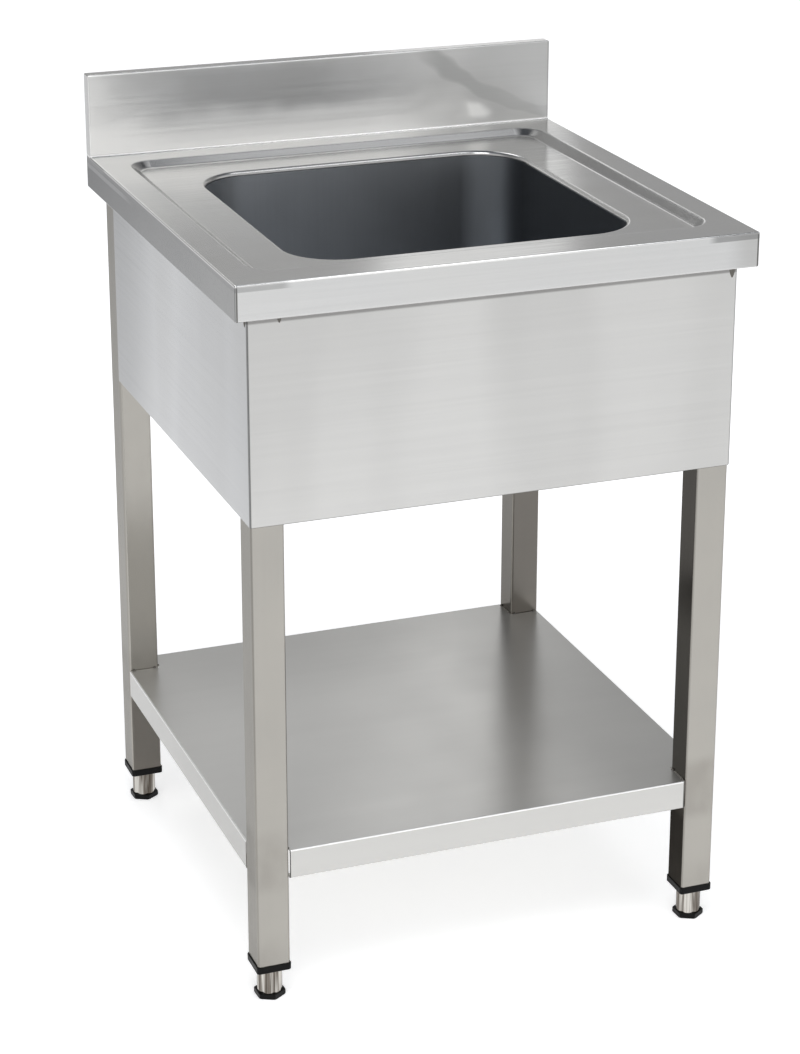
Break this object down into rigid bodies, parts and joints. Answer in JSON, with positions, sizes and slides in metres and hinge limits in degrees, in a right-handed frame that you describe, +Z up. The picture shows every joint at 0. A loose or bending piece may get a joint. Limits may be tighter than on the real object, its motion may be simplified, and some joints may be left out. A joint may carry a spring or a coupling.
{
  "type": "utility laundry sink",
  "caption": "Free-standing stainless steel utility sink: deep square bowl, sloped-step worktop with rear upstand, three-sided apron, tube legs, low shelf and screw feet.",
  "frame": {"origin": "bottom centre of the whole object, on the floor", "axes": "+Z up, -Y towards the user, +X to the user's right"},
  "size_m": [0.6, 0.6, 0.95],
  "materials": {
    "top_steel": "satin, pressed and drawn stainless sheet",
    "panel_steel": "satin, fine brushed stainless sheet",
    "leg_steel": "brushed along the tube",
    "weld_steel": "dark weld bead, not ground",
    "bright_steel": "polished",
    "plate_steel": "plain mill finish",
    "fastener_steel": "zinc plated",
    "black_plastic": "moulded, slightly glossy",
    "waste_plastic": "moulded polypropylene",
    "seal_rubber": "soft, matt"
  },
  "bodies": {
    "sink": {"worktop": "top_steel", "bowl": "top_steel", "front_panel": "panel_steel", "left_panel": "panel_steel", "right_panel": "panel_steel", "rear_rail": "plate_steel", "rail_screws": "fastener_steel", "leg_fl": "leg_steel", "leg_fr": "leg_steel", "leg_rl": "leg_steel", "leg_rr": "leg_steel", "corner_plate_fl": "plate_steel", "corner_plate_fr": "plate_steel", "corner_plate_rl": "plate_steel", "corner_plate_rr": "plate_steel", "top_studs": "fastener_steel", "top_washers": "fastener_steel", "top_nuts": "fastener_steel", "shelf": "panel_steel", "shelf_stiffener": "plate_steel", "shelf_tack_welds": "weld_steel", "apron_tack_welds": "weld_steel", "foot_insert_fl": "black_plastic", "foot_nut_fl": "fastener_steel", "foot_insert_fr": "black_plastic", "foot_nut_fr": "fastener_steel", "foot_insert_rl": "black_plastic", "foot_nut_rl": "fastener_steel", "foot_insert_rr": "black_plastic", "foot_nut_rr": "fastener_steel", "waste_gasket_upper": "seal_rubber", "waste_gasket_lower": "seal_rubber", "waste_flange": "bright_steel", "waste_screw": "bright_steel", "waste_body": "waste_plastic"},
    "basket": {"basket": "bright_steel", "basket_knob": "bright_steel", "basket_seal": "seal_rubber"},
    "foot_fl_sleeve": {"foot_sleeve_fl": "bright_steel"},
    "foot_fl_screw": {"foot_base_fl": "black_plastic", "foot_spindle_fl": "fastener_steel"},
    "foot_fr_sleeve": {"foot_sleeve_fr": "bright_steel"},
    "foot_fr_screw": {"foot_base_fr": "black_plastic", "foot_spindle_fr": "fastener_steel"},
    "foot_rl_sleeve": {"foot_sleeve_rl": "bright_steel"},
    "foot_rl_screw": {"foot_base_rl": "black_plastic", "foot_spindle_rl": "fastener_steel"},
    "foot_rr_sleeve": {"foot_sleeve_rr": "bright_steel"},
    "foot_rr_screw": {"foot_base_rr": "black_plastic", "foot_spindle_rr": "fastener_steel"}
  },
  "joints": [
    {"name": "basket_lift", "type": "slide", "parent": "sink", "child": "basket", "axis": [0, 0, 1], "range_m": [0, 0.32]},
    {"name": "foot_fl_height", "type": "slide", "parent": "sink", "child": "foot_fl_sleeve", "axis": [0, 0, -1], "range_m": [-0.02, 0.015]},
    {"name": "foot_fl_turn", "type": "hinge", "parent": "foot_fl_sleeve", "child": "foot_fl_screw", "pos_m": [-0.263, -0.262, 0.03], "axis": [0, 0, -1], "range_deg": [-4120, 3090]},
    {"name": "foot_fr_height", "type": "slide", "parent": "sink", "child": "foot_fr_sleeve", "axis": [0, 0, -1], "range_m": [-0.02, 0.015]},
    {"name": "foot_fr_turn", "type": "hinge", "parent": "foot_fr_sleeve", "child": "foot_fr_screw", "pos_m": [0.263, -0.262, 0.03], "axis": [0, 0, -1], "range_deg": [-4120, 3090]},
    {"name": "foot_rl_height", "type": "slide", "parent": "sink", "child": "foot_rl_sleeve", "axis": [0, 0, -1], "range_m": [-0.02, 0.015]},
    {"name": "foot_rl_turn", "type": "hinge", "parent": "foot_rl_sleeve", "child": "foot_rl_screw", "pos_m": [-0.263, 0.266, 0.03], "axis": [0, 0, -1], "range_deg": [-4120, 3090]},
    {"name": "foot_rr_height", "type": "slide", "parent": "sink", "child": "foot_rr_sleeve", "axis": [0, 0, -1], "range_m": [-0.02, 0.015]},
    {"name": "foot_rr_turn", "type": "hinge", "parent": "foot_rr_sleeve", "child": "foot_rr_screw", "pos_m": [0.263, 0.266, 0.03], "axis": [0, 0, -1], "range_deg": [-4120, 3090]}
  ],
  "couplings": [
    {"joint": "foot_fl_turn", "follows": "foot_fl_height", "rad_per_m": 3590.4},
    {"joint": "foot_fr_turn", "follows": "foot_fr_height", "rad_per_m": 3590.4},
    {"joint": "foot_rl_turn", "follows": "foot_rl_height", "rad_per_m": 3590.4},
    {"joint": "foot_rr_turn", "follows": "foot_rr_height", "rad_per_m": 3590.4}
  ]
}
